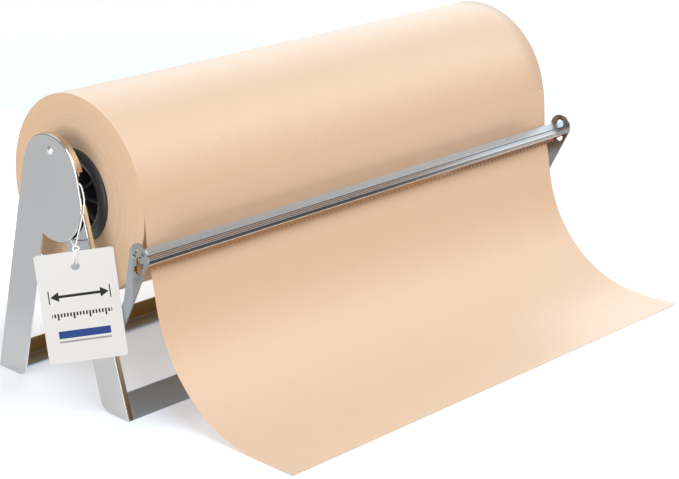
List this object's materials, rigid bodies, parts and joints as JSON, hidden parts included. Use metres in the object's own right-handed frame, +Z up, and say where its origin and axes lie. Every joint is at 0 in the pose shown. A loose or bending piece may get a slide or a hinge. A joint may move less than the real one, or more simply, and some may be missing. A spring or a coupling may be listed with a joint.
{
  "type": "paper roll dispenser",
  "caption": "Counter-top steel stand that holds a wide roll of wrapping paper on an axle, with a swinging, sprung saw-toothed cutter bar and the paper drawn out in front.",
  "frame": {"origin": "middle of the plan of the stand and its drawn-out paper, on the counter surface", "axes": "+X along the roll towards its right end, -Y towards the user and the free end of the paper, +Z up"},
  "size_m": [0.7359, 0.408, 0.3057],
  "materials": {
    "frame_steel": "satin",
    "bright_steel": "satin",
    "kraft_paper": "matte",
    "grey_board": "matte",
    "black_plastic": "satin",
    "tag_card": "matte",
    "white_string": "matte"
  },
  "bodies": {
    "stand": {"left_rear_leg": "frame_steel", "right_rear_leg": "frame_steel", "left_front_leg": "frame_steel", "right_front_leg": "frame_steel", "front_crossbar": "frame_steel", "rear_crossbar": "frame_steel", "arm_stops": "frame_steel", "apex_spacers": "frame_steel", "apex_rivets": "bright_steel", "pivot_studs": "bright_steel", "pivot_sleeves": "bright_steel", "pivot_clips": "bright_steel", "left_arm_spring": "bright_steel", "right_arm_spring": "bright_steel", "paper_web": "kraft_paper", "hang_tag": "tag_card", "tag_string": "white_string"},
    "roll": {"paper_roll": "kraft_paper", "paper_core": "grey_board", "left_core_plug": "black_plastic", "right_core_plug": "black_plastic", "plug_screws": "bright_steel", "axle_rod": "bright_steel"},
    "cutter": {"left_cutter_arm": "frame_steel", "right_cutter_arm": "frame_steel", "cutter_bar": "bright_steel", "cutter_blade": "bright_steel"}
  },
  "joints": [
    {"name": "roll_spin", "type": "hinge", "parent": "stand", "child": "roll", "pos_m": [0, 0.1, 0.2032], "axis": [1, 0, 0], "continuous": true},
    {"name": "cutter_swing", "type": "hinge", "parent": "stand", "child": "cutter", "pos_m": [0, 0.03485, 0.0665], "axis": [1, 0, 0], "range_deg": [0, 60], "stiffness_Nm_per_rad": 0.3, "springref_deg": -68.75, "deforming": ["left_arm_spring", "right_arm_spring"]}
  ]
}
